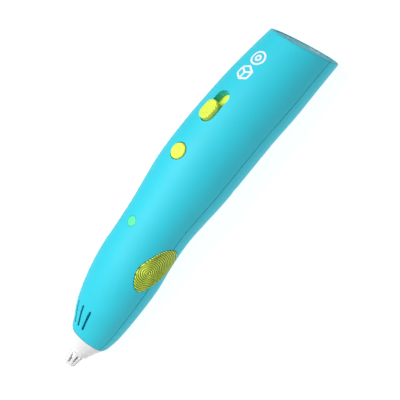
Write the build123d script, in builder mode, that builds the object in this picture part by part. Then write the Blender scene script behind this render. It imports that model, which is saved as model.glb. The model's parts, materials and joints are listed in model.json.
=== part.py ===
from build123d import *
import os
from math import atan2, cos, degrees, pi, radians, sin, sqrt

# A cordless 3D pen lying on its back: nozzle towards -X, tail towards +X, buttons up (+Z).
# "x" values are distances from the nozzle's tip, in millimetres, unless a comment says otherwise.

# ---- overall sizes
overall_length = 171.8
body_radius = 17.2            # largest section of the body
nose_length = 13.6            # from the tip back to the mouth of the shells
tail_slope = 15.5             # degrees, the tail's end face leans towards the nozzle at the top
rest_flat = 0.25              # depth of the flats that it lies on
wall = 2.0
seam_gap = 0.3
skin_join = -65.0             # degrees round a section, where its skin starts and ends
section_count = 44
fit_gap = 0.15                # all round, between a fixed piece and what it sits in
slide_gap = 0.3               # all round, between a button or slider and its opening
shaft_gap = 0.05              # radial, on turning shafts

# Stations along the body: share of the body's length, then radius and lift off the table as
# shares of body_radius. Sections are round.
stations = [
    (0.000, 0.481, 0.074),
    (0.030, 0.606, 0.000),
    (0.075, 0.722, 0.002),
    (0.150, 0.826, 0.044),
    (0.226, 0.877, 0.104),
    (0.302, 0.855, 0.234),
    (0.378, 0.863, 0.307),
    (0.440, 0.915, 0.290),
    (0.516, 0.982, 0.247),
    (0.618, 1.000, 0.225),
    (0.718, 0.990, 0.194),
    (0.808, 0.983, 0.123),
    (0.910, 0.932, 0.075),
    (1.100, 0.822, -0.035),
]

# ---- nozzle and hot end
guard_prongs = 8
prong_thickness = 1.15
filament_bore = 1.0           # radius, for 1.75 mm filament
tip_bore = 0.35
nozzle_radius = 2.0
barrel_radius = 2.6
sleeve_wall = 1.05
nozzle_joint_x = 12.0
barrel_flange_x = 29.5
barrel_end_x = 31.5
bead_radius = 0.6

# ---- feeder
filament_radius = 0.875
feeder_x = 35.0
frame_wall = 1.8
screw_start_x = 38.5
screw_length = 12.0
screw_radius = 3.4
screw_bite = 0.1
thread_depth = 0.3
thread_turns = 8
journal_radius = 1.2
gear_module = 0.5
pinion_teeth = 22
screw_gear_teeth = 10
tooth_backlash = 0.1
gear_width = 2.4
motor_offset = 1.0            # sideways, so that the pinion clears the filament
roller_radius = 3.0
roller_width = 3.0
axle_radius = 0.75
arm_plate = 0.7
pivot_radius = 1.0
spring_wire = 0.15            # radius

# ---- motor, battery and electronics
motor_width = 12.0
motor_height = 10.0
gearbox_length = 9.0
motor_can_length = 15.0
motor_end_length = 1.3
shaft_radius = 1.5
battery_size = (45.0, 18.0, 9.0)
battery_x = 94.7
board_x = 61.7
board_to_tail = 11.5          # from the board's end to the tail
board_half_width = 6.8
board_thickness = 1.0
board_z = 26.9                # underside, above the table
wire_radius = 0.4
tube_radius = 1.5             # outside of the filament tubes
usb_size = (8.0, 9.0, 3.2)

# ---- controls
button_x = 101.2
button_radius = 3.6
button_proud = 0.35
button_travel = 0.6
slot_x = 124.3                # middle of the slider's slot
slot_length = 15.5
slot_width = 6.6
slot_depth = 4.0
collar_wall = 1.2
knob_length = 9.2
knob_width = 6.0
knob_proud = 2.2
slider_travel = 5.4
slider_end_gap = 0.45
window_x = 67.1
window_radius = 2.1
vent_x = 21.8
vent_length = 9.2
vent_width = 1.1
vent_count = 3
vent_step = 19.0              # degrees about the section's centre

# ---- grip pads, one on each side of the seam
pad_x = 57.2
pad_depth = 1.0
pad_proud = 0.25
pad_outline = [               # from the pad's centre on the seam: along the pen, up
    (-11.4, 1.6),
    (-10.9, 4.4),
    (-8.4, 6.7),
    (-4.2, 8.3),
    (0.4, 7.9),
    (4.1, 6.7),
    (7.6, 5.1),
    (10.6, 1.2),
    (9.9, -2.8),
    (6.6, -5.7),
    (2.2, -5.9),
    (-3.5, -3.4),
    (-9.0, -0.3),
]

# ---- fasteners
case_screw_places = [(26.2, 8.8), (102.3, 13.2)]   # x and half-spacing
case_boss_radius = 2.3
screw_head_radius = 1.5
screw_head_height = 1.2
screw_shank_radius = 0.8
case_screw_length = 10.0
screw_head_below_seam = 6.0
board_screw_places = [81.7, 108.0, 152.7]
board_post_radius = 1.8
board_screw_length = 5.0
motor_screw_spread = 9.0
motor_screw_radius = 0.75


# ---- the body's shape as smooth functions of x
body_length = overall_length - nose_length
tip = -overall_length / 2


def along_stations(x, column):
    """Smooth curve through one column of the stations."""
    share = min(max((x - nose_length) / body_length, 0.0), stations[-1][0])
    low = max(i for i in range(len(stations) - 1) if stations[i][0] <= share)
    places = [row[0] for row in stations]
    values = [row[column] for row in stations]

    def slope(i):
        before, after = max(i - 1, 0), min(i + 1, len(stations) - 1)
        return (values[after] - values[before]) / (places[after] - places[before])

    span = places[low + 1] - places[low]
    t = (share - places[low]) / span
    return (
        (2 * t**3 - 3 * t**2 + 1) * values[low]
        + (t**3 - 2 * t**2 + t) * span * slope(low)
        + (3 * t**2 - 2 * t**3) * values[low + 1]
        + (t**3 - t**2) * span * slope(low + 1)
    )


def body_radius_at(x):
    return body_radius * along_stations(x, 1)


def center_height(x):
    """Height of the section's centre, which is also the seam between the shells."""
    return body_radius_at(x) + body_radius * along_stations(x, 2) - rest_flat


def top_height(x, y=0.0, inset=0.0):
    return center_height(x) + sqrt((body_radius_at(x) - inset) ** 2 - y**2)


# ---- places that follow from the sizes
axis_z = center_height(nose_length)                # the nozzle's and the filament's line
tail_end = tip + overall_length
board_top = board_z + board_thickness
screw_y = filament_radius + screw_radius - screw_bite
pinion_pitch = gear_module * pinion_teeth / 2
screw_gear_pitch = gear_module * screw_gear_teeth / 2
gear_distance = pinion_pitch + screw_gear_pitch + tooth_backlash
motor_z = axis_z + sqrt(gear_distance**2 - (screw_y - motor_offset) ** 2)
screw_end_x = screw_start_x + screw_length
rear_wall_x = screw_end_x + 1.5
gear_x = rear_wall_x + frame_wall + 0.5
motor_plate_x = gear_x + gear_width + 1.5
gearbox_x = motor_plate_x + 1.5
motor_can_x = gearbox_x + gearbox_length
motor_end_x = motor_can_x + motor_can_length
roller_x = screw_start_x + screw_length / 2
roller_y = -(filament_radius + roller_radius)
pivot_x = roller_x + 5.2
pivot_y = -6.2
floor_top = axis_z - max(screw_radius, screw_gear_pitch + gear_module) - 0.3
arm_low = axis_z - roller_width / 2 - 0.15 - arm_plate
arm_high = axis_z + roller_width / 2 + 0.15
spring_start_y = roller_y - 2.0
spring_end_y = -9.2
spring_z = arm_high + arm_plate + 1.2
battery_z = axis_z + tube_radius + 1.6
usb_x = overall_length - 15.5
cap_depth = 0.3
cap_thickness = 2.0
inlet_bore = 1.25
inlet_radius = 2.4
inlet_start_x = overall_length - 11.0

nose_plane = Plane(origin=(tip, 0, axis_z), x_dir=(1, 0, 0), z_dir=(0, -1, 0))
nose_axis = Axis((0, 0, axis_z), (1, 0, 0))
tail_normal = (cos(radians(tail_slope)), 0, sin(radians(tail_slope)))


def across(x, y=0.0, z=0.0):
    """Plane across the pen: its x is Y, its y is Z, and its normal is +X."""
    return Plane(origin=(tip + x, y, z), x_dir=(0, 1, 0), z_dir=(1, 0, 0))


def level(x, y, z):
    """Plane parallel to the table."""
    return Plane(origin=(tip + x, y, z), x_dir=(1, 0, 0), z_dir=(0, 0, 1))


def tail_plane(inset=0.0):
    base = Vector(tail_end, 0, 0) - Vector(*tail_normal) * inset
    return Plane(origin=base, x_dir=(0, 1, 0), z_dir=tail_normal)


def loft_body(inset, sections_before=0):
    """Loft evenly spaced sections of the body, moved in by inset."""
    step = body_length * stations[-1][0] / section_count
    start = (0, cos(radians(skin_join)), sin(radians(skin_join)))
    sections = []
    for number in range(-sections_before, section_count + 1):
        x = nose_length + step * number
        ring = Plane(origin=(tip + x, 0, center_height(x)), x_dir=start, z_dir=(1, 0, 0))
        with BuildSketch(ring) as section:
            Circle(body_radius_at(x) - inset)
        sections.append(section.sketch)
    loft(sections)


def turn_profile(points):
    """Turn a profile of (x, radius) points about the filament's line."""
    with BuildSketch(nose_plane) as profile:
        with BuildLine():
            Polyline(*points, close=True)
        make_face()
    revolve(profile.sketch, axis=nose_axis)


def box_between(x, y, z, mode=Mode.ADD):
    """Box between pairs of limits; x counts from the tip."""
    with BuildSketch(level((x[0] + x[1]) / 2, (y[0] + y[1]) / 2, z[0])) as outline:
        Rectangle(x[1] - x[0], y[1] - y[0])
    extrude(outline.sketch, amount=z[1] - z[0], mode=mode)


def upright(x, y, z, radius, mode=Mode.ADD):
    """Vertical round bar between two heights."""
    with BuildSketch(level(x, y, z[0])) as section:
        Circle(radius)
    extrude(section.sketch, amount=z[1] - z[0], mode=mode)


def lengthwise(x, y, z, radius, mode=Mode.ADD):
    """Round bar along the pen between two distances from the tip."""
    with BuildSketch(across(x[0], y, z)) as section:
        Circle(radius)
    extrude(section.sketch, amount=x[1] - x[0], mode=mode)


pieces = []


def finish(builder, label):
    builder.part.label = label
    pieces.append(builder.part)


# ---- construction solids
with BuildPart() as outer_body:
    loft_body(0)
    split(bisect_by=tail_plane(), keep=Keep.BOTTOM)
    tail_rim = outer_body.faces().sort_by(Axis.X)[-1]
    fillet(tail_rim.edges(), 0.8)
    split(bisect_by=Plane.XY, keep=Keep.TOP)

with BuildPart() as cavity:
    loft_body(wall, sections_before=1)

with BuildPart() as inner_room:
    loft_body(wall + fit_gap)

with BuildPart() as deep_skin:
    loft_body(pad_depth + fit_gap)

with BuildPart() as pad_floor:
    loft_body(pad_depth)

with BuildPart() as pad_crown:
    loft_body(-pad_proud)


def seam_half(shift, below):
    """Everything above or below the seam, shifted by half of its gap."""
    count = 24
    first, last = nose_length - 5, overall_length + 10
    steps = [first + (last - first) * i / count for i in range(count + 1)]
    points = [(tip + x, center_height(x) + shift) for x in steps]
    far = -10 if below else 4 * body_radius
    with BuildSketch(Plane.XZ) as side_view:
        with BuildLine():
            Spline(*points)
            Polyline(points[-1], (points[-1][0], far), (points[0][0], far), points[0])
        make_face()
    extrude(side_view.sketch, amount=2 * body_radius, both=True)


with BuildPart() as upper_half:
    seam_half(seam_gap / 2, False)

with BuildPart() as lower_half:
    seam_half(-seam_gap / 2, True)


def pad_sketch(gap):
    """The pad's outline on the side view, grown by gap."""
    middle = center_height(pad_x)
    points = []
    for along, up in pad_outline:
        growth = 1 + gap / sqrt(along**2 + up**2)
        points.append((tip + pad_x + along * growth, middle + up * growth))
    with BuildSketch(Plane.XZ) as outline:
        with BuildLine():
            Spline(*points)
            Line(points[-1], points[0])
        make_face()
    return outline.sketch


with BuildPart() as pad_pockets:
    extrude(pad_sketch(fit_gap + 0.1), amount=2 * body_radius, both=True)
    add(deep_skin.part, mode=Mode.SUBTRACT)

# The slider works on a plane that follows the slope of the body's top.
slot_rise = top_height(slot_x + slot_length / 2) - top_height(slot_x - slot_length / 2)
slot_angle = atan2(slot_rise, slot_length)
slot_normal = (-sin(slot_angle), 0, cos(slot_angle))
slot_direction = (cos(slot_angle), 0, sin(slot_angle))


def slot_plane(height=0.0, shift=0.0):
    """Plane of the slider's slot, raised off the skin; shift moves it along the slot."""
    base = Vector(tip + slot_x, 0, top_height(slot_x))
    place = base + Vector(*slot_normal) * height + Vector(*slot_direction) * shift
    return Plane(origin=place, x_dir=slot_direction, z_dir=slot_normal)


def screw_seats():
    """Places of the case screws: x, y, seam height."""
    return [(x, y * side, center_height(x)) for x, y in case_screw_places for side in (-1, 1)]


# ---- shells
with BuildPart() as front_bosses:
    for x, y, seam in screw_seats():
        upright(x, y, (seam + seam_gap / 2, top_height(x)), case_boss_radius)
    for x in board_screw_places:
        upright(x, 0, (board_top, top_height(x)), board_post_radius)
    with BuildSketch(slot_plane(-slot_depth)):
        SlotOverall(slot_length + 2 * collar_wall, slot_width + 2 * collar_wall)
    extrude(amount=slot_depth)
    add(deep_skin.part, mode=Mode.INTERSECT)

with BuildPart() as front_shell:
    add(outer_body.part)
    add(cavity.part, mode=Mode.SUBTRACT)
    add(upper_half.part, mode=Mode.INTERSECT)
    add(front_bosses.part)
    add(pad_pockets.part, mode=Mode.SUBTRACT)
    for x, y, seam in screw_seats():
        pilot_top = seam - screw_head_below_seam + screw_head_height + case_screw_length + 0.5
        upright(x, y, (seam - 1, pilot_top), screw_shank_radius + 0.02, mode=Mode.SUBTRACT)
    for x in board_screw_places:
        pilot_top = board_z + board_screw_length + 0.3
        upright(x, 0, (board_z, pilot_top), screw_shank_radius + 0.02, mode=Mode.SUBTRACT)
    upright(button_x, 0, (board_z, 60), button_radius + slide_gap, mode=Mode.SUBTRACT)
    upright(window_x, 0, (board_z, 60), window_radius + fit_gap, mode=Mode.SUBTRACT)
    with BuildSketch(slot_plane(-2 * slot_depth)):
        SlotOverall(slot_length, slot_width)
    extrude(amount=4 * slot_depth, mode=Mode.SUBTRACT)
    vent_center = Plane(
        origin=(tip + vent_x, 0, center_height(vent_x)), x_dir=(1, 0, 0), z_dir=(0, 0, 1)
    )
    for number in range(vent_count):
        turn = vent_step * (number - (vent_count - 1) / 2)
        with BuildSketch(vent_center.rotated((turn, 0, 0)).offset(wall + 3)):
            SlotOverall(vent_length, vent_width)
        extrude(amount=2 * body_radius, mode=Mode.SUBTRACT)
finish(front_shell, "front_shell")

rib_places = [battery_x + 7.0, battery_x + 37.0]
rib_thickness = 1.6
with BuildPart() as back_bosses:
    for x, y, seam in screw_seats():
        upright(x, y, (0, seam - seam_gap / 2), case_boss_radius)
    for x in rib_places:
        box_between(
            (x, x + rib_thickness), (-body_radius, body_radius), (0, battery_z - fit_gap)
        )
        with BuildSketch(across(x - 1, 0, axis_z)):
            SlotOverall(6 * tube_radius, 2 * (tube_radius + fit_gap), rotation=90)
        extrude(amount=rib_thickness + 2, mode=Mode.SUBTRACT)
    add(deep_skin.part, mode=Mode.INTERSECT)

with BuildPart() as back_shell:
    add(outer_body.part)
    add(cavity.part, mode=Mode.SUBTRACT)
    add(lower_half.part, mode=Mode.INTERSECT)
    add(back_bosses.part)
    add(pad_pockets.part, mode=Mode.SUBTRACT)
    for x, y, seam in screw_seats():
        head_z = seam - screw_head_below_seam
        upright(x, y, (-1, head_z + screw_head_height), screw_head_radius + 0.1, mode=Mode.SUBTRACT)
        upright(x, y, (head_z, seam + 1), screw_shank_radius + 0.15, mode=Mode.SUBTRACT)
finish(back_shell, "back_shell")

with BuildPart() as case_screws:
    for x, y, seam in screw_seats():
        head_z = seam - screw_head_below_seam
        seat_z = head_z + screw_head_height
        upright(x, y, (head_z, seat_z), screw_head_radius)
        upright(x, y, (seat_z, seat_z + case_screw_length), screw_shank_radius)
        with BuildSketch(level(x, y, head_z)):
            Rectangle(0.4, 1.8)
            Rectangle(1.8, 0.4)
        extrude(amount=0.7, mode=Mode.SUBTRACT)
finish(case_screws, "case_screws")

# ---- grip pads
for label, side in (("grip_pad_left", 1), ("grip_pad_right", -1)):
    with BuildPart() as grip_pad:
        extrude(pad_sketch(0), amount=-2 * body_radius * side)
        add(pad_crown.part, mode=Mode.INTERSECT)
        add(pad_floor.part, mode=Mode.SUBTRACT)
    finish(grip_pad, label)

# ---- nozzle cone and guard
mouth_radius = body_radius_at(nose_length)
spigot_radius = mouth_radius - wall - fit_gap
cone_bore = barrel_radius + sleeve_wall + 0.25
guard_ring = 3.0
ridge = 0.25
with BuildPart() as nozzle_cone:
    with BuildSketch(nose_plane):
        with BuildLine():
            Polyline(
                (5.7, guard_ring + 0.05),
                (8.6, guard_ring + 0.05),
                (8.6, cone_bore),
                (19.0, cone_bore),
                (19.0, spigot_radius),
                (17.6, spigot_radius),
                (17.6, spigot_radius + ridge),
                (16.6, spigot_radius + ridge),
                (16.0, spigot_radius),
                (nose_length - fit_gap, spigot_radius),
                (nose_length - fit_gap, mouth_radius - 0.1),
                (7.9, 5.05),
            )
            ThreePointArc((7.9, 5.05), (6.4, 4.5), (5.7, 3.6))
            Line((5.7, 3.6), (5.7, guard_ring + 0.05))
        make_face()
    revolve(axis=nose_axis)
finish(nozzle_cone, "nozzle_cone")

with BuildPart() as nozzle_guard:
    turn_profile([(5.0, 2.45), (5.0, guard_ring), (8.4, guard_ring), (8.4, 2.45)])
    for number in range(guard_prongs):
        with BuildSketch(nose_plane.rotated((360 / guard_prongs * number, 0, 0))):
            with BuildLine():
                Polyline(
                    (5.65, 2.5), (5.65, 3.45), (0.6, 2.5), (0, 2.2), (0, 1.75), close=True
                )
            make_face()
        extrude(amount=prong_thickness / 2, both=True)
finish(nozzle_guard, "nozzle_guard")

# ---- hot end
with BuildPart() as hot_nozzle:
    turn_profile(
        [
            (0.9, tip_bore),
            (0.9, 0.8),
            (3.4, nozzle_radius),
            (nozzle_joint_x, nozzle_radius),
            (nozzle_joint_x, filament_bore),
            (4.6, filament_bore),
            (3.2, tip_bore),
        ]
    )
finish(hot_nozzle, "hot_nozzle")

with BuildPart() as heater_barrel:
    turn_profile(
        [
            (nozzle_joint_x, filament_bore),
            (nozzle_joint_x, barrel_radius),
            (barrel_flange_x, barrel_radius),
            (barrel_flange_x, 4.4),
            (barrel_end_x, 4.4),
            (barrel_end_x, filament_bore),
        ]
    )
finish(heater_barrel, "heater_barrel")

with BuildPart() as insulation_sleeve:
    sleeve_inside = barrel_radius + 0.05
    turn_profile(
        [
            (nozzle_joint_x + 1, sleeve_inside),
            (nozzle_joint_x + 1, barrel_radius + sleeve_wall),
            (barrel_flange_x - 3, barrel_radius + sleeve_wall),
            (barrel_flange_x - 3, sleeve_inside),
        ]
    )
finish(insulation_sleeve, "insulation_sleeve")

with BuildPart() as thermistor:
    lengthwise((barrel_flange_x - 2.6, barrel_flange_x - 0.3), 0,
               axis_z + barrel_radius + bead_radius + 0.02, bead_radius)
    fillet(thermistor.edges(), bead_radius / 2)
finish(thermistor, "thermistor")

with BuildPart() as feed_tube:
    turn_profile(
        [
            (barrel_end_x, filament_bore),
            (barrel_end_x, tube_radius + 0.4),
            (feeder_x, tube_radius + 0.4),
            (feeder_x, filament_bore),
        ]
    )
finish(feed_tube, "feed_tube")

# ---- feeder
bearing_hole = journal_radius + shaft_gap
with BuildPart() as feeder_frame:
    box_between((feeder_x, gearbox_x), (-9, 9), (axis_z - 5.2, floor_top))
    for x in (feeder_x, rear_wall_x):
        box_between((x, x + frame_wall), (-10, 9), (axis_z - 5.2, axis_z + 5.0))
    box_between(
        (motor_plate_x, gearbox_x),
        (motor_offset - motor_width / 2, motor_offset + motor_width / 2),
        (axis_z - 5.2, motor_z + motor_height / 2),
    )
    box_between((feeder_x, rear_wall_x + 1), (spring_end_y - 0.8, spring_end_y),
                (axis_z - 1.4, axis_z + 5.0))
    upright(pivot_x, pivot_y, (floor_top - 0.6, arm_low - 0.1), pivot_radius + 0.7)
    add(inner_room.part, mode=Mode.INTERSECT)
    lengthwise((feeder_x - 1, gearbox_x + 1), 0, axis_z, filament_bore, mode=Mode.SUBTRACT)
    lengthwise((feeder_x - 1, gear_x), screw_y, axis_z, bearing_hole, mode=Mode.SUBTRACT)
    lengthwise((gear_x, gearbox_x + 1), motor_offset, motor_z, 2.6, mode=Mode.SUBTRACT)
    upright(pivot_x, pivot_y, (0, arm_low), pivot_radius, mode=Mode.SUBTRACT)
    for side in (-1, 1):
        hole_y = motor_offset + side * motor_screw_spread / 2
        lengthwise((gear_x, gearbox_x + 1), hole_y, motor_z, motor_screw_radius + 0.1,
                   mode=Mode.SUBTRACT)
finish(feeder_frame, "feeder_frame")

with BuildPart() as feed_screw:
    with BuildSketch(across(screw_start_x, screw_y, axis_z)) as thread_section:
        with Locations((thread_depth, 0)):
            Circle(screw_radius - thread_depth)
    add(
        Solid.extrude_linear_with_rotation(
            thread_section.sketch.faces()[0].outer_wire(),
            (tip + screw_start_x, screw_y, axis_z),
            (screw_length, 0, 0),
            360 * thread_turns,
        )
    )
    lengthwise((feeder_x + 0.2, gear_x + gear_width), screw_y, axis_z, journal_radius)
finish(feed_screw, "feed_screw")


def gear_outline(teeth, first_angle):
    """Spur gear with straight flanks, thinned for backlash, one tooth at first_angle."""
    pitch = gear_module * teeth / 2
    half_tooth = pi * gear_module / 4 - tooth_backlash / 2
    outer, root = pitch + 0.8 * gear_module, pitch - 1.2 * gear_module
    Circle(root)
    with PolarLocations(0, teeth, start_angle=first_angle):
        Polygon(
            (root - 0.2, -half_tooth - 0.12),
            (pitch, -half_tooth),
            (outer, -half_tooth + 0.2),
            (outer, half_tooth - 0.2),
            (pitch, half_tooth),
            (root - 0.2, half_tooth + 0.12),
            align=None,
        )


mesh_angle = degrees(atan2(axis_z - motor_z, screw_y - motor_offset))
with BuildPart() as screw_gear:
    with BuildSketch(across(gear_x, screw_y, axis_z)):
        gear_outline(screw_gear_teeth, mesh_angle + 180 + 180 / screw_gear_teeth)
        Circle(journal_radius, mode=Mode.SUBTRACT)
    extrude(amount=gear_width)
finish(screw_gear, "screw_gear")

with BuildPart() as motor_pinion:
    with BuildSketch(across(gear_x, motor_offset, motor_z)):
        gear_outline(pinion_teeth, mesh_angle)
        Circle(shaft_radius, mode=Mode.SUBTRACT)
    extrude(amount=gear_width)
finish(motor_pinion, "motor_pinion")

with BuildPart() as motor_shaft:
    lengthwise((gear_x, gearbox_x + 3), motor_offset, motor_z, shaft_radius)
finish(motor_shaft, "motor_shaft")

with BuildPart() as idler_roller:
    roller_plane = Plane(
        origin=(tip + roller_x, roller_y, axis_z), x_dir=(1, 0, 0), z_dir=(0, -1, 0)
    )
    half = roller_width / 2
    with BuildSketch(roller_plane):
        with BuildLine():
            Polyline(
                (axle_radius + shaft_gap, -half),
                (roller_radius, -half),
                (roller_radius, -0.7),
                (roller_radius - 0.35, 0),
                (roller_radius, 0.7),
                (roller_radius, half),
                (axle_radius + shaft_gap, half),
                close=True,
            )
        make_face()
    revolve(axis=Axis((tip + roller_x, roller_y, 0), (0, 0, 1)))
finish(idler_roller, "idler_roller")

with BuildPart() as idler_arm:
    for z in (arm_low, arm_high):
        with BuildSketch(level(0, 0, z)):
            with Locations((roller_x, roller_y)):
                Circle(1.5)
            with Locations((pivot_x, pivot_y)):
                Circle(1.9)
            make_hull()
        extrude(amount=arm_plate)
    upright(pivot_x, pivot_y, (arm_low, arm_high + arm_plate), 1.9)
    box_between((roller_x - 1.2, roller_x + 1.2), (spring_start_y, roller_y - 1.2),
                (arm_high, spring_z + 1.1))
    upright(roller_x, roller_y, (0, 30), axle_radius, mode=Mode.SUBTRACT)
    upright(pivot_x, pivot_y, (0, 30), pivot_radius + shaft_gap, mode=Mode.SUBTRACT)
finish(idler_arm, "idler_arm")

with BuildPart() as idler_axle:
    upright(roller_x, roller_y, (arm_low, arm_high + arm_plate + 0.4), axle_radius)
finish(idler_axle, "idler_axle")

with BuildPart() as idler_pin:
    upright(pivot_x, pivot_y, (arm_low - 0.9, arm_high + arm_plate + 0.2), pivot_radius)
    upright(pivot_x, pivot_y,
            (arm_high + arm_plate + 0.2, arm_high + arm_plate + 0.7), pivot_radius + 0.5)
finish(idler_pin, "idler_pin")

with BuildPart() as idler_spring:
    spring_start = (tip + roller_x, spring_start_y - 1.1 * spring_wire, spring_z)
    with BuildLine() as spring_line:
        Helix(
            pitch=0.7,
            height=spring_start_y - spring_end_y - 2.2 * spring_wire,
            radius=0.8,
            center=spring_start,
            direction=(0, -1, 0),
        )
    with BuildSketch(Plane(origin=spring_line.line @ 0, z_dir=spring_line.line % 0)):
        Circle(spring_wire)
    sweep()
finish(idler_spring, "idler_spring")

# ---- motor
with BuildPart() as gearbox:
    box_between(
        (gearbox_x, motor_can_x),
        (motor_offset - motor_width / 2, motor_offset + motor_width / 2),
        (motor_z - motor_height / 2, motor_z + motor_height / 2),
    )
    fillet(gearbox.edges().filter_by(Axis.X), 0.6)
    lengthwise((gearbox_x - 1, gearbox_x + 3.5), motor_offset, motor_z,
               shaft_radius + shaft_gap, mode=Mode.SUBTRACT)
    for side in (-1, 1):
        hole_y = motor_offset + side * motor_screw_spread / 2
        lengthwise((gearbox_x - 1, gearbox_x + 3), hole_y, motor_z, motor_screw_radius + 0.02,
                   mode=Mode.SUBTRACT)
finish(gearbox, "gearbox")

with BuildPart() as motor_can:
    with BuildSketch(across(motor_can_x, motor_offset, motor_z)):
        Circle(motor_width / 2)
        Rectangle(motor_width, motor_height, mode=Mode.INTERSECT)
    extrude(amount=motor_can_length)
finish(motor_can, "motor_can")

with BuildPart() as motor_end:
    with BuildSketch(across(motor_end_x, motor_offset, motor_z)):
        Circle(motor_width / 2 - 0.6)
        Rectangle(motor_width, motor_height - 1, mode=Mode.INTERSECT)
    extrude(amount=motor_end_length)
    for side in (-1, 1):
        y = motor_offset + side * 3.2
        x_end = motor_end_x + motor_end_length
        box_between((x_end - 0.2, x_end + 1.6), (y - 0.7, y + 0.7), (motor_z - 0.2, motor_z + 0.2))
finish(motor_end, "motor_end")

with BuildPart() as motor_screws:
    for side in (-1, 1):
        hole_y = motor_offset + side * motor_screw_spread / 2
        lengthwise((motor_plate_x - 0.7, motor_plate_x), hole_y, motor_z, 1.25)
        lengthwise((motor_plate_x, gearbox_x + 2.5), hole_y, motor_z, motor_screw_radius)
finish(motor_screws, "motor_screws")

# ---- electronics
with BuildPart() as circuit_board:
    box_between((board_x, overall_length - board_to_tail), (-board_half_width, board_half_width),
                (board_z, board_top))
    fillet(circuit_board.edges().filter_by(Axis.Z), 1.0)
    for x in board_screw_places:
        upright(x, 0, (0, 60), screw_shank_radius + 0.15, mode=Mode.SUBTRACT)
finish(circuit_board, "circuit_board")

with BuildPart() as board_screws:
    for x in board_screw_places:
        upright(x, 0, (board_z - 0.9, board_z), screw_head_radius)
        upright(x, 0, (board_z, board_z + board_screw_length), screw_shank_radius)
finish(board_screws, "board_screws")

battery_end_x = battery_x + battery_size[0]
with BuildPart() as battery_cell:
    box_between(
        (battery_x, battery_end_x),
        (-battery_size[1] / 2, battery_size[1] / 2),
        (battery_z, battery_z + battery_size[2]),
    )
    fillet(battery_cell.edges().filter_by(Axis.X), 3.0)
finish(battery_cell, "battery_cell")

with BuildPart() as battery_foam:
    box_between((battery_x + 24, battery_end_x - 3), (-6, 6),
                (battery_z + battery_size[2], board_z))
    fillet(battery_foam.edges().filter_by(Axis.Z), 1.5)
finish(battery_foam, "battery_foam")

plug_x = battery_end_x + 4
with BuildPart() as battery_connector:
    box_between((plug_x, plug_x + 5), (-3, 3), (board_z - 3.6, board_z))
    fillet(battery_connector.edges().filter_by(Axis.Z), 0.3)
finish(battery_connector, "battery_connector")

with BuildPart() as control_chip:
    box_between((89, 96), (-3.5, 3.5), (board_top, board_top + 0.9))
finish(control_chip, "control_chip")

with BuildPart() as led:
    box_between((window_x - 1.4, window_x + 1.4), (-1.2, 1.2), (board_top, board_top + 0.8))
finish(led, "led")

with BuildPart() as light_window:
    upright(window_x, 0, (board_top + 1.1, 60), window_radius)
    add(outer_body.part, mode=Mode.INTERSECT)
    upright(window_x, 0, (board_top + 1.1, board_top + 1.9), window_radius + 0.7)
finish(light_window, "light_window")

cap_outer = tail_plane(cap_depth)
usb_z = board_z - usb_size[2]
with BuildPart() as usb_socket:
    with BuildSketch(across(usb_x, 0, board_z - usb_size[2] / 2)):
        RectangleRounded(usb_size[1], usb_size[2], 1.2)
        RectangleRounded(usb_size[1] - 0.6, usb_size[2] - 0.6, 0.95, mode=Mode.SUBTRACT)
    extrude(amount=14)
    split(bisect_by=cap_outer, keep=Keep.BOTTOM)
    with BuildSketch(across(usb_x, 0, board_z - usb_size[2] / 2)):
        RectangleRounded(usb_size[1], usb_size[2], 1.2)
    extrude(amount=1.0)
    box_between((usb_x, usb_x + 5.5), (-3.2, 3.2),
                (board_z - usb_size[2] / 2 - 0.35, board_z - usb_size[2] / 2 + 0.35))
finish(usb_socket, "usb_socket")

# ---- tail
with BuildPart() as tail_cap:
    with BuildSketch(cap_outer):
        Rectangle(4 * body_radius, 6 * body_radius)
    extrude(amount=-cap_thickness)
    add(inner_room.part, mode=Mode.INTERSECT)
    lengthwise((150, 200), 0, axis_z, inlet_radius + fit_gap, mode=Mode.SUBTRACT)
    with BuildSketch(across(150, 0, board_z - usb_size[2] / 2)):
        RectangleRounded(usb_size[1] + 0.4, usb_size[2] + 0.4, 1.4)
    extrude(amount=40, mode=Mode.SUBTRACT)
finish(tail_cap, "tail_cap")

with BuildPart() as filament_inlet:
    lengthwise((inlet_start_x, 190), 0, axis_z, inlet_radius)
    split(bisect_by=cap_outer, keep=Keep.BOTTOM)
    lengthwise((inlet_start_x, inlet_start_x + 1.5), 0, axis_z, inlet_radius + 0.8)
    lengthwise((150, 190), 0, axis_z, inlet_bore, mode=Mode.SUBTRACT)
finish(filament_inlet, "filament_inlet")

with BuildPart() as guide_tube:
    turn_profile(
        [
            (gearbox_x, filament_bore),
            (gearbox_x, tube_radius),
            (inlet_start_x, tube_radius),
            (inlet_start_x, filament_bore),
        ]
    )
finish(guide_tube, "guide_tube")

# ---- button and its switch
switch_top = board_top + 3.0
plunger_top = switch_top + 1.4
with BuildPart() as tact_switch:
    box_between((button_x - 3, button_x + 3), (-3, 3), (board_top, switch_top))
    upright(button_x, 0, (board_top + 0.6, switch_top + 1), 1.75 + shaft_gap, mode=Mode.SUBTRACT)
finish(tact_switch, "tact_switch")

with BuildPart() as tact_plunger:
    upright(button_x, 0, (board_top + 0.6 + button_travel + 0.2, plunger_top), 1.75)
finish(tact_plunger, "tact_plunger")

button_top = top_height(button_x) + button_proud
flange_radius = button_radius + 1.2
flange_top = top_height(button_x, flange_radius, wall) - 0.2
with BuildPart() as feed_button:
    upright(button_x, 0, (flange_top - 1, button_top), button_radius)
    fillet(feed_button.edges().sort_by(Axis.Z)[-1], 0.7)
    upright(button_x, 0, (flange_top - 1, flange_top), flange_radius)
    upright(button_x, 0, (plunger_top, flange_top - 1), 1.75)
finish(feed_button, "feed_button")

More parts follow.
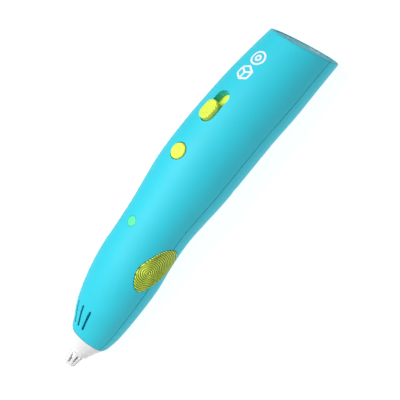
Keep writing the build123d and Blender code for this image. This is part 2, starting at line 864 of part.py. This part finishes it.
# ---- slider, its lever and its switch
rest_shift = -slot_length / 2 + slider_end_gap + knob_length / 2
plate_thickness = 1.0
plate_top = -slot_depth - fit_gap
with BuildPart() as speed_slider:
    with BuildSketch(slot_plane(plate_top - plate_thickness, rest_shift)):
        Rectangle(slot_length + slider_travel + 2.0, slot_width + 3)
    extrude(amount=plate_thickness)
    with BuildSketch(slot_plane(plate_top - plate_thickness, rest_shift)):
        SlotOverall(knob_length, knob_width)
    extrude(amount=plate_thickness - plate_top + knob_proud)
    fillet(speed_slider.faces().sort_by(Axis.Z)[-1].edges(), 0.8)
    for step in range(-2, 3):
        with BuildSketch(slot_plane(knob_proud - 0.6, rest_shift + 1.35 * step)):
            Rectangle(0.55, knob_width + 1)
        extrude(amount=2, mode=Mode.SUBTRACT)
finish(speed_slider, "speed_slider")

lever_length = 3.0
lever_x = slot_x + rest_shift * cos(slot_angle)
with BuildPart() as switch_lever:
    with BuildSketch(slot_plane(plate_top - plate_thickness - lever_length, rest_shift)):
        Rectangle(1.2, 2.4)
    extrude(amount=lever_length)
finish(switch_lever, "switch_lever")

with BuildPart() as slide_switch:
    box_between((lever_x - 4, lever_x + slider_travel + 4), (-3.5, 3.5),
                (board_top, board_top + 2.4))
    box_between((lever_x - 1.2, lever_x + slider_travel + 1.2), (-1.6, 1.6),
                (board_top + 0.5, board_top + 3), mode=Mode.SUBTRACT)
finish(slide_switch, "slide_switch")


# ---- wires
def wire_pair(points, spread):
    """Two wires side by side along one route, each spread to its side of it."""
    for side in (-1, 1):
        route = [(tip + x, y + side * spread, z) for x, y, z in points]
        with BuildLine() as path:
            FilletPolyline(*route, radius=1.2)
        with BuildSketch(Plane(origin=path.line @ 0, z_dir=path.line % 0)) as section:
            Circle(wire_radius)
        sweep(section.sketch, path=path.line)


terminal_x = motor_end_x + motor_end_length + 1.7
with BuildPart() as motor_leads:
    wire_pair(
        [(terminal_x, motor_offset, motor_z), (terminal_x + 2.4, motor_offset, motor_z),
         (terminal_x + 2.4, motor_offset, board_z)],
        3.2,
    )
finish(motor_leads, "motor_leads")

with BuildPart() as battery_leads:
    lead_z = battery_z + battery_size[2] - 3
    wire_pair(
        [(battery_end_x, 0, lead_z), (battery_end_x + 6.5, 0, lead_z),
         (battery_end_x + 6.5, 0, board_z - 3.6)],
        1.0,
    )
finish(battery_leads, "battery_leads")

with BuildPart() as heater_leads:
    wire_pair(
        [(barrel_end_x, 0, axis_z + 3.4), (barrel_end_x + 2, 0, axis_z + 3.4),
         (barrel_end_x + 6, 0, axis_z + 12.5), (board_x - 4, 0, board_z - 2.6),
         (board_x + 2.5, 0, board_z - 2.6), (board_x + 2.5, 0, board_z)],
        2.0,
    )
finish(heater_leads, "heater_leads")

os.makedirs("parts", exist_ok=True)
for piece in pieces:
    export_step(piece, f"parts/{piece.label}.step")
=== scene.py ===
import json
from math import cos, pi, radians, sin

import bmesh
import bpy
from mathutils import Matrix, Vector
from mathutils.bvhtree import BVHTree


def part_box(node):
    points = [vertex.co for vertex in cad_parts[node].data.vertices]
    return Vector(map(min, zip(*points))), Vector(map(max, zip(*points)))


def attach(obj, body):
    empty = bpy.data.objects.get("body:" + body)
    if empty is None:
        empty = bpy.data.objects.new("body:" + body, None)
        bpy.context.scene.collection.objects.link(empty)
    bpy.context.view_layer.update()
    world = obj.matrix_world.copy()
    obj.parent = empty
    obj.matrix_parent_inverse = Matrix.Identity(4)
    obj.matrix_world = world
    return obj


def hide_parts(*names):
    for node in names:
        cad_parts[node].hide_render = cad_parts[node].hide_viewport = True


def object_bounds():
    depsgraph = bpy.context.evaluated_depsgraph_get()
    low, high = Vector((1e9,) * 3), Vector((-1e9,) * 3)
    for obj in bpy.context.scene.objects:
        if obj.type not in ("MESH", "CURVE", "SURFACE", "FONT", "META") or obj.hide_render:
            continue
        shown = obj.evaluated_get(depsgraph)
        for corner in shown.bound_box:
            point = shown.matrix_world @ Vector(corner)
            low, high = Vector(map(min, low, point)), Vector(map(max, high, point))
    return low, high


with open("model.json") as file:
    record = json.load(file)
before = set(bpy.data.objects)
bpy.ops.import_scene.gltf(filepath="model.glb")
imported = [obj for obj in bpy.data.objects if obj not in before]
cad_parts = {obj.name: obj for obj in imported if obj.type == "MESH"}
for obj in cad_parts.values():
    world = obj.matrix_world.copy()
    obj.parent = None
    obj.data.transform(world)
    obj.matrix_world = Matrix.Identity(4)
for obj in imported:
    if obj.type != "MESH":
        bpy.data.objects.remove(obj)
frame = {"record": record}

CAD_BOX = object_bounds()
MM = 0.001
TIP_X = CAD_BOX[0][0]            # the pen's nozzle end; places along it count from here

# Camera
CAMERA_BACK = (0.052, -0.6385, 0.7679)   # from the target towards the camera
PEN_ALONG = (0.9973, 0.0, -0.0750)       # the pen's run in the picture, nozzle to tail
TARGET_FROM_TIP = 89.86 * MM
TARGET_HEIGHT = 7.99 * MM
CAMERA_DISTANCE = 400 * MM
VIEW_WIDTH = 170 * MM            # across the picture, at the target
CAMERA_ROLL = 49.03              # degrees between the pen and the picture's lower edge
SENSOR_WIDTH = 36

# World and floor
WORLD_LIGHT = 0.03
FLOOR_LIGHT = 0.93
FLOOR_GREY = 0.15
FLOOR_HALF = 4.0                 # metres from the middle to each edge
FLOOR_DROP = 0.0002              # metres below the pen's lowest faces

# Materials
GRAIN_HEIGHT = 0.00002           # metres
STREAK_STRETCH = (1, 40, 40)     # draws the noise out along the pen

# Grip pads: round grooves about a point given as shares of the pad's box
GROOVE_PITCH = 0.84 * MM
GROOVE_DEPTH = 0.40 * MM
GROOVE_CENTRE_ALONG = 0.385
GROOVE_CENTRE_UP = 0.72
PAD_TURNS = 256
PAD_RINGS = 150
PAD_THICKNESS = 0.95 * MM
RIM_WIDTH = 0.7 * MM
GROOVE_START = 0.35              # rim widths left smooth along the outline
GROOVE_POWER = 0.8               # under 1 makes the grooves wider than the ridges
EDGE_DROP = 0.25 * MM
EDGE_WIDTH = 0.3 * MM
BACK_EXTRA = 0.4 * MM
PAD_SHARE = 0.9985               # keeps the relief inside the CAD pad's outline
OUTLINE_HALVINGS = 18

# Printed mark
MARK_FROM_TIP = 146.2 * MM
MARK_HALF_STROKE = 0.42          # the mark is drawn in millimetres
MARK_STEP = 0.35
MARK_CLOSED_GAP = 0.001
MARK_ROW = (-1, -0.33, 0.33, 1)  # points across a stroke, in half strokes
MARK_LIFT = 0.012 * MM
MARK_THICKNESS = 0.03 * MM
RAY_HEIGHT = 0.1                 # metres, above everything
RAY_SIDE = 0.05


# ---------------------------------------------------------------- places read from the frame
def span(node):
    """Lowest and highest corner of a node, as vectors."""
    low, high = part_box(node)
    return Vector(low), Vector(high)


def node_object(node):
    found = [o for o in bpy.data.objects if o.type == "MESH" and o.name.split(".")[0] == node]
    return found[0]


def surface_tree(node):
    """Ray tree of a CAD node, in the frame's metres."""
    mesh = node_object(node).data
    vertices = [v.co.copy() for v in mesh.vertices]
    polygons = [list(p.vertices) for p in mesh.polygons]
    return BVHTree.FromPolygons(vertices, polygons)


# ---------------------------------------------------------------- camera, floor and light
def make_camera():
    """Looks at the pen's upper right side, rolled so that the nozzle points down and left."""
    back = Vector(CAMERA_BACK).normalized()
    along = Vector(PEN_ALONG)
    along = (along - back * along.dot(back)).normalized()
    across = back.cross(along)
    roll = radians(CAMERA_ROLL)
    right = along * cos(roll) - across * sin(roll)
    up = along * sin(roll) + across * cos(roll)
    target = Vector((TIP_X + TARGET_FROM_TIP, 0.0, TARGET_HEIGHT))
    data = bpy.data.cameras.new("camera")
    data.sensor_width = SENSOR_WIDTH
    data.lens = SENSOR_WIDTH * CAMERA_DISTANCE / VIEW_WIDTH
    data.clip_start = 0.01
    data.clip_end = 20
    camera = bpy.data.objects.new("camera", data)
    bpy.context.collection.objects.link(camera)
    turn = Matrix((right, up, back)).transposed().to_4x4()
    camera.matrix_world = Matrix.Translation(target + back * CAMERA_DISTANCE) @ turn
    bpy.context.scene.camera = camera
    bpy.context.scene.view_settings.view_transform = "Standard"


def area_light(name, place, target, size, watts):
    data = bpy.data.lights.new(name, "AREA")
    data.shape = "DISK"
    data.size = size
    data.energy = watts
    light = bpy.data.objects.new(name, data)
    bpy.context.collection.objects.link(light)
    place, target = Vector(place), Vector(target)
    aim = (target - place).to_track_quat("-Z", "Y").to_matrix().to_4x4()
    light.matrix_world = Matrix.Translation(place) @ aim


def make_studio():
    world = bpy.data.worlds.new("studio")
    world.use_nodes = True
    background = world.node_tree.nodes["Background"]
    background.inputs["Color"].default_value = (1, 1, 1, 1)
    background.inputs["Strength"].default_value = WORLD_LIGHT
    bpy.context.scene.world = world
    middle = (0, 0, 0.02)
    area_light("key", place=(-0.10, 0.10, 0.80), target=middle, size=0.40, watts=6.9)
    area_light("front", place=(-0.30, -0.35, 0.70), target=middle, size=0.30, watts=1.5)

    mesh = bpy.data.meshes.new("floor")
    half = FLOOR_HALF
    corners = [(-half, -half, 0), (half, -half, 0), (half, half, 0), (-half, half, 0)]
    mesh.from_pydata(corners, [], [(0, 1, 2, 3)])
    floor = bpy.data.objects.new("floor", mesh)
    bpy.context.collection.objects.link(floor)
    floor.location.z = -FLOOR_DROP
    floor.data.materials.append(plain_floor())


# ---------------------------------------------------------------- materials
def new_material(name):
    material = bpy.data.materials.new(name)
    material.use_nodes = True
    tree = material.node_tree
    shader = tree.nodes["Principled BSDF"]
    return material, tree, shader


def noise(tree, scale, detail, stretch=None):
    """Noise in the object's own coordinates, one unit per metre; stretch scales each axis."""
    place = tree.nodes.new("ShaderNodeTexCoord")
    texture = tree.nodes.new("ShaderNodeTexNoise")
    texture.inputs["Scale"].default_value = scale
    texture.inputs["Detail"].default_value = detail
    texture.inputs["Roughness"].default_value = 0.55
    source = place.outputs["Object"]
    if stretch:
        mapping = tree.nodes.new("ShaderNodeMapping")
        mapping.inputs["Scale"].default_value = stretch
        tree.links.new(source, mapping.inputs["Vector"])
        source = mapping.outputs["Vector"]
    tree.links.new(source, texture.inputs["Vector"])
    return texture.outputs["Fac"]


def ramp(tree, source, low, high, start=0.3, end=0.7):
    """Colour ramp between two colours."""
    node = tree.nodes.new("ShaderNodeValToRGB")
    node.color_ramp.elements[0].position = start
    node.color_ramp.elements[1].position = end
    node.color_ramp.elements[0].color = (*low, 1)
    node.color_ramp.elements[1].color = (*high, 1)
    tree.links.new(source, node.inputs["Fac"])
    return node.outputs["Color"]


def add_bump(tree, shader, source, height, strength):
    node = tree.nodes.new("ShaderNodeBump")
    node.inputs["Distance"].default_value = height
    node.inputs["Strength"].default_value = strength
    tree.links.new(source, node.inputs["Height"])
    tree.links.new(node.outputs["Normal"], shader.inputs["Normal"])


def shaded(colour, share):
    return tuple(c * share for c in colour)


def moulded(name, colour, rough, variation=0.06, coat=0.0, metal=0.0, scatter=0.0, shine=0.5):
    """Moulded plastic: fine grain, slightly uneven colour and gloss."""
    material, tree, shader = new_material(name)
    cloud = noise(tree, 55, detail=4)
    grain = noise(tree, 2600, detail=2)
    low, high = shaded(colour, 1 - variation), shaded(colour, 1 + variation * 0.4)
    tree.links.new(ramp(tree, cloud, low, high), shader.inputs["Base Color"])
    gloss = ramp(tree, grain, (rough - 0.05,) * 3, (rough + 0.05,) * 3)
    tree.links.new(gloss, shader.inputs["Roughness"])
    shader.inputs["Metallic"].default_value = metal
    shader.inputs["Specular IOR Level"].default_value = shine
    shader.inputs["Coat Weight"].default_value = coat
    shader.inputs["Coat Roughness"].default_value = 0.35
    if scatter:
        shader.inputs["Subsurface Weight"].default_value = scatter
        shader.inputs["Subsurface Radius"].default_value = (0.002, 0.002, 0.002)
        shader.inputs["Subsurface Scale"].default_value = 0.5
    add_bump(tree, shader, grain, GRAIN_HEIGHT, 0.5)
    return material


def machined(name, colour, rough):
    """Bare metal with drawn streaks and slight tarnish."""
    material, tree, shader = new_material(name)
    streaks = noise(tree, 160, detail=4, stretch=STREAK_STRETCH)
    tarnish = noise(tree, 90, detail=3)
    low, high = shaded(colour, 0.78), colour
    tree.links.new(ramp(tree, tarnish, low, high), shader.inputs["Base Color"])
    gloss = ramp(tree, streaks, (rough - 0.08,) * 3, (rough + 0.12,) * 3)
    tree.links.new(gloss, shader.inputs["Roughness"])
    shader.inputs["Metallic"].default_value = 1.0
    add_bump(tree, shader, streaks, 0.00001, 0.4)
    return material


def woven(name, colour, pitch):
    """Braided sleeve or foam: two crossed waves over the piece's length."""
    material, tree, shader = new_material(name)
    place = tree.nodes.new("ShaderNodeTexCoord")
    height = None
    for direction in ("DIAGONAL", "Z"):
        wave = tree.nodes.new("ShaderNodeTexWave")
        wave.bands_direction = direction
        wave.inputs["Scale"].default_value = 1 / pitch
        wave.inputs["Distortion"].default_value = 1.5
        tree.links.new(place.outputs["Object"], wave.inputs["Vector"])
        if height is None:
            height = wave.outputs["Fac"]
            continue
        mix = tree.nodes.new("ShaderNodeMath")
        mix.operation = "MULTIPLY"
        tree.links.new(height, mix.inputs[0])
        tree.links.new(wave.outputs["Fac"], mix.inputs[1])
        height = mix.outputs["Value"]
    tree.links.new(ramp(tree, height, shaded(colour, 0.6), colour), shader.inputs["Base Color"])
    shader.inputs["Roughness"].default_value = 0.9
    add_bump(tree, shader, height, 0.0001, 0.8)
    return material


def board_laminate():
    """Green solder mask with faint copper runs under it."""
    material, tree, shader = new_material("board_laminate")
    place = tree.nodes.new("ShaderNodeTexCoord")
    bricks = tree.nodes.new("ShaderNodeTexBrick")
    bricks.inputs["Scale"].default_value = 260
    bricks.inputs["Mortar Size"].default_value = 0.06
    bricks.inputs["Color1"].default_value = (0.012, 0.115, 0.045, 1)
    bricks.inputs["Color2"].default_value = (0.015, 0.135, 0.055, 1)
    bricks.inputs["Mortar"].default_value = (0.05, 0.24, 0.10, 1)
    tree.links.new(place.outputs["Object"], bricks.inputs["Vector"])
    tree.links.new(bricks.outputs["Color"], shader.inputs["Base Color"])
    shader.inputs["Roughness"].default_value = 0.32
    add_bump(tree, shader, bricks.outputs["Fac"], 0.00003, 0.6)
    return material


def glowing(name, colour, light):
    """Frosted light pipe, lit from behind."""
    material, tree, shader = new_material(name)
    frost = noise(tree, 900, detail=2)
    tree.links.new(ramp(tree, frost, shaded(colour, 0.92), colour), shader.inputs["Base Color"])
    shader.inputs["Roughness"].default_value = 0.35
    shader.inputs["Emission Color"].default_value = (*colour, 1)
    shader.inputs["Emission Strength"].default_value = light
    add_bump(tree, shader, frost, 0.00001, 0.3)
    return material


def plain_floor():
    """Bright white sheet; its own light keeps the shadow on it faint."""
    material, _, shader = new_material("floor")
    shader.inputs["Base Color"].default_value = (FLOOR_GREY, FLOOR_GREY, FLOOR_GREY, 1)
    shader.inputs["Roughness"].default_value = 0.95
    shader.inputs["Specular IOR Level"].default_value = 0.0
    shader.inputs["Emission Color"].default_value = (1, 1, 1, 1)
    shader.inputs["Emission Strength"].default_value = FLOOR_LIGHT
    return material


def ringed_rubber(name, colour, painted_groove_shade, centre, pitch):
    """Rubber with painted shade: a darker colour painted into the round grooves about a point of
    the side view.
    """
    material, tree, shader = new_material(name)
    place = tree.nodes.new("ShaderNodeTexCoord")
    shift = tree.nodes.new("ShaderNodeMapping")
    shift.inputs["Location"].default_value = (-centre.x, 0, -centre.z)
    tree.links.new(place.outputs["Object"], shift.inputs["Vector"])
    rings = tree.nodes.new("ShaderNodeTexWave")
    rings.wave_type = "RINGS"
    rings.rings_direction = "Y"
    rings.inputs["Scale"].default_value = pi / (10 * pitch)
    tree.links.new(shift.outputs["Vector"], rings.inputs["Vector"])
    # painted shade: the rings darken the rubber where its grooves lie
    shade = ramp(tree, rings.outputs["Fac"], colour, painted_groove_shade, 0.35, 0.85)
    tree.links.new(shade, shader.inputs["Base Color"])
    grain = noise(tree, 1800, detail=2)
    gloss = ramp(tree, grain, (0.55,) * 3, (0.65,) * 3)
    tree.links.new(gloss, shader.inputs["Roughness"])
    add_bump(tree, shader, grain, GRAIN_HEIGHT, 0.5)
    return material


CYAN = (0.036, 0.600, 0.740)
LIME = (0.730, 0.860, 0.085)
PAD_LIME = (0.660, 0.840, 0.085)
# painted shade: darker colour laid into the grip pads' grooves
PAD_GROOVE_SHADE = (0.150, 0.200, 0.020)


def make_materials():
    return {
        "cyan_shell": moulded("soft_touch_cyan", CYAN, 0.55, variation=0.03, shine=0.25),
        "grip_green": ringed_rubber(
            "ringed_rubber", PAD_LIME, PAD_GROOVE_SHADE, pad_groove_centre("grip_pad_right"), GROOVE_PITCH
        ),
        "control_green": moulded("lime_plastic", LIME, 0.42, variation=0.04, scatter=0.1),
        "white_plastic": moulded("white_plastic", (0.86, 0.86, 0.86), 0.4, variation=0.02),
        "ptfe": moulded("ptfe", (0.82, 0.83, 0.82), 0.5, variation=0.03, scatter=0.2),
        "black_plastic": moulded("black_plastic", (0.018, 0.018, 0.02), 0.45),
        "wire_red": moulded("wire_insulation", (0.50, 0.02, 0.02), 0.4),
        "battery_wrap": moulded("foil_wrap", (0.50, 0.52, 0.54), 0.3, coat=0.4, metal=0.6),
        "glass_bead": moulded("glass_bead", (0.55, 0.25, 0.10), 0.15, coat=0.8),
        "led_white": moulded("led_epoxy", (0.85, 0.82, 0.60), 0.2, coat=0.5),
        "steel": machined("plated_steel", (0.60, 0.61, 0.63), 0.32),
        "brass": machined("machined_brass", (0.72, 0.50, 0.20), 0.3),
        "ceramic_fibre": woven("ceramic_sleeve", (0.72, 0.68, 0.58), 0.0012),
        "foam": woven("foam_pad", (0.05, 0.05, 0.055), 0.0006),
        "board_green": board_laminate(),
        "window_green": glowing("light_window_glow", (0.11, 0.80, 0.36), 0.12),
    }


def dress_nodes(materials):
    """Every CAD node that stays visible takes the material of its slot."""
    slots = {row["node"]: row["material_slot"] for row in frame["record"]["subparts"]}
    for node, slot_name in slots.items():
        mesh = node_object(node).data
        mesh.materials.clear()
        mesh.materials.append(materials[slot_name])


# ---------------------------------------------------------------- grip pads
def pad_edge_radius(tree, centre, direction, side, reach):
    """Distance from the centre to the pad's outline along one direction of the side view."""
    inside, outside = 0.0, reach
    for _ in range(OUTLINE_HALVINGS):
        middle = (inside + outside) / 2
        spot = centre + direction * middle
        start = Vector((spot.x, side * RAY_SIDE, spot.z))
        hit = tree.ray_cast(start, Vector((0, -side, 0)))[0]
        if hit is None:
            outside = middle
        else:
            inside = middle
    return inside


def pad_groove_centre(node):
    """Middle of the pad's round grooves, on the side view."""
    low, high = span(node)
    return Vector((low.x + (high.x - low.x) * GROOVE_CENTRE_ALONG, 0,
                   low.z + (high.z - low.z) * GROOVE_CENTRE_UP))


def grip_pad(name, node, side, material):
    """Rubber pad with round grooves about a point near its nozzle end.

    It is a fan of points inside the CAD pad's own outline, dropped onto the CAD pad's face.
    """
    tree = surface_tree(node)
    low, high = span(node)
    size = high - low
    groove_centre = pad_groove_centre(node)
    turns, rings = PAD_TURNS, PAD_RINGS
    push = Vector((0, side, 0))
    verts, faces = [], []

    def face_point(spot):
        start = Vector((spot.x, side * RAY_SIDE, spot.z))
        return tree.ray_cast(start, -push)

    centre_hit = face_point(groove_centre)[0]
    verts.append(centre_hit)
    for i in range(turns):
        angle = 2 * pi * i / turns
        direction = Vector((cos(angle), 0, sin(angle)))
        reach = pad_edge_radius(tree, groove_centre, direction, side, size.x) * PAD_SHARE
        for j in range(1, rings + 1):
            distance = reach * j / rings
            hit, normal = face_point(groove_centre + direction * distance)[:2]
            to_rim = reach - distance
            fade = min(max(to_rim / RIM_WIDTH - GROOVE_START, 0.0), 1.0)
            wave = 0.5 - 0.5 * cos(2 * pi * distance / GROOVE_PITCH)
            sink = GROOVE_DEPTH * fade * wave ** GROOVE_POWER
            edge_round = EDGE_DROP * max(0.0, 1 - to_rim / EDGE_WIDTH) ** 2
            verts.append(hit - normal * (sink + edge_round))
    for i in range(turns):
        after = (i + 1) % turns
        first, second = 1 + i * rings, 1 + after * rings
        faces.append((0, first, second))
        for j in range(rings - 1):
            faces.append((first + j, first + j + 1, second + j + 1, second + j))
    skirt = len(verts)
    for i in range(turns):
        verts.append(verts[i * rings + rings] - push * PAD_THICKNESS)
    for i in range(turns):
        after = (i + 1) % turns
        top_a, top_b = i * rings + rings, after * rings + rings
        faces.append((top_a, skirt + i, skirt + after, top_b))
    verts.append(centre_hit - push * (PAD_THICKNESS + BACK_EXTRA))
    back = len(verts) - 1
    for i in range(turns):
        faces.append((skirt + i, back, skirt + (i + 1) % turns))
    mesh = bpy.data.meshes.new(name)
    mesh.from_pydata([tuple(v) for v in verts], [], faces)
    tidy = bmesh.new()
    tidy.from_mesh(mesh)
    bmesh.ops.recalc_face_normals(tidy, faces=tidy.faces)
    tidy.to_mesh(mesh)
    tidy.free()
    mesh.shade_smooth()
    pad = bpy.data.objects.new(name, mesh)
    bpy.context.collection.objects.link(pad)
    mesh.materials.append(material)
    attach(pad, "housing")
    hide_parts(node)


# ---------------------------------------------------------------- printed mark
def circle_points(x, y, radius, count):
    angles = [2 * pi * i / count for i in range(count + 1)]
    return [(x + radius * cos(a), y + radius * sin(a)) for a in angles]


def mark_strokes():
    """Line drawing in mm: along the pen, across it. A cube seen corner on, and a spool."""
    corners = circle_points(-4.0, 0.0, 3.3, 6)
    strokes = [corners]
    strokes.extend([(-4.0, 0.0), corners[i]] for i in (1, 3, 5))
    strokes.append(circle_points(3.9, 0.0, 3.0, 36))
    strokes.append(circle_points(3.9, 0.0, 1.1, 20))
    return strokes


def split_stroke(points, step):
    """The stroke's points, with more of them in between."""
    dense = []
    for first, second in zip(points, points[1:]):
        first, second = Vector(first), Vector(second)
        count = max(1, round((second - first).length / step))
        dense.extend(first.lerp(second, i / count) for i in range(count))
    dense.append(Vector(points[-1]))
    return dense


def print_mark(material):
    """Thin white print on the front shell near the tail, dropped onto the shell's skin."""
    tree = surface_tree("front_shell")
    middle_x = TIP_X + MARK_FROM_TIP
    work = bmesh.new()
    for stroke in mark_strokes():
        points = split_stroke(stroke, MARK_STEP)
        rows = []
        for i, point in enumerate(points):
            before, after = points[max(i - 1, 0)], points[min(i + 1, len(points) - 1)]
            if i in (0, len(points) - 1) and (points[0] - points[-1]).length < MARK_CLOSED_GAP:
                before, after = points[-2], points[1]
            direction = (after - before).normalized()
            sideways = Vector((-direction.y, direction.x))
            row = []
            for share in MARK_ROW:
                spot = point + sideways * MARK_HALF_STROKE * share
                start = Vector((middle_x + spot.x * MM, spot.y * MM, RAY_HEIGHT))
                hit, normal = tree.ray_cast(start, Vector((0, 0, -1)))[:2]
                row.append(work.verts.new(hit + normal * (MARK_LIFT + MARK_THICKNESS)))
            rows.append(row)
        for first, second in zip(rows, rows[1:]):
            for k in range(len(MARK_ROW) - 1):
                work.faces.new((first[k], second[k], second[k + 1], first[k + 1]))
    bmesh.ops.recalc_face_normals(work, faces=work.faces)
    if sum(face.normal.z for face in work.faces) < 0:
        bmesh.ops.reverse_faces(work, faces=work.faces)
    bmesh.ops.solidify(work, geom=list(work.faces), thickness=MARK_THICKNESS)
    mesh = bpy.data.meshes.new("print_mark")
    work.to_mesh(mesh)
    work.free()
    mark = bpy.data.objects.new("print_mark", mesh)
    bpy.context.collection.objects.link(mark)
    mesh.materials.append(material)
    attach(mark, "housing")


make_camera()
make_studio()
materials = make_materials()
dress_nodes(materials)
grip_pad("grip_pad_left_relief", "grip_pad_left", 1, materials["grip_green"])
grip_pad("grip_pad_right_relief", "grip_pad_right", -1, materials["grip_green"])
print_mark(materials["white_plastic"])
